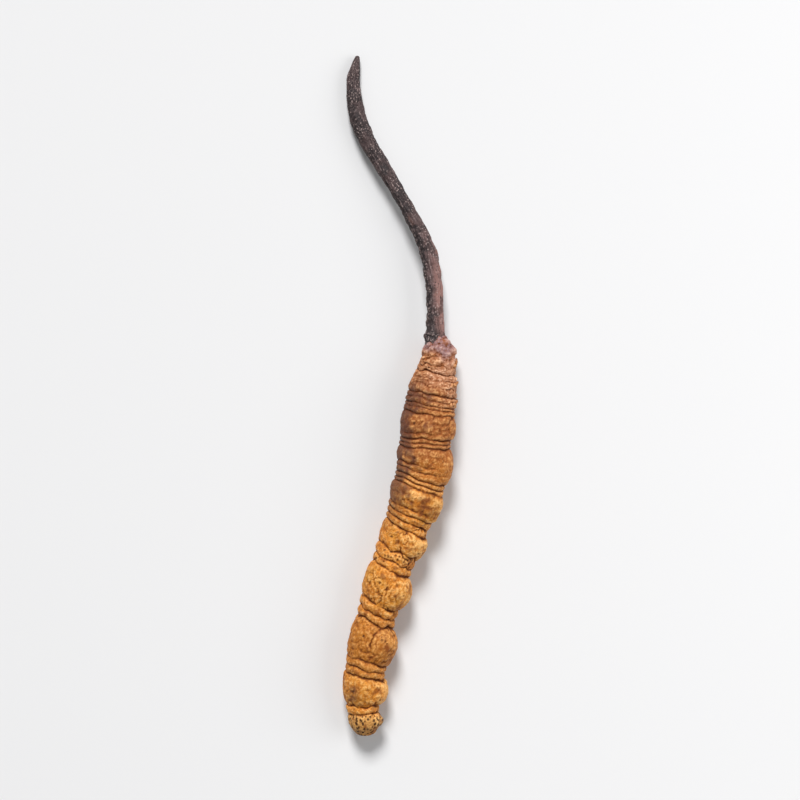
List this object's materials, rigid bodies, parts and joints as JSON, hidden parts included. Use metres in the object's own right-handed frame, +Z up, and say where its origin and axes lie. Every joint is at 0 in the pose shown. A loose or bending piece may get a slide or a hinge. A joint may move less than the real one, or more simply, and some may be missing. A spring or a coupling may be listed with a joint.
{
  "type": "dried cordyceps",
  "caption": "Dried cordyceps lying on its side: a ringed, legged larva body with a thin bent fungus stalk growing from its head.",
  "frame": {"origin": "on the surface it lies on, under the middle of its outline seen from above", "axes": "+Z up, +Y from the tail towards the head and the stalk, +X towards the belly with its legs"},
  "size_m": [0.013, 0.0772, 0.0057],
  "materials": {
    "larva_skin": "dry wrinkled ochre skin, matte with a faint sheen on the crests",
    "stroma_skin": "dry purplish brown stalk, matte, finely wrinkled along its length"
  },
  "bodies": {
    "root": {"larva_body": "larva_skin", "stroma": "stroma_skin"}
  },
  "joints": []
}
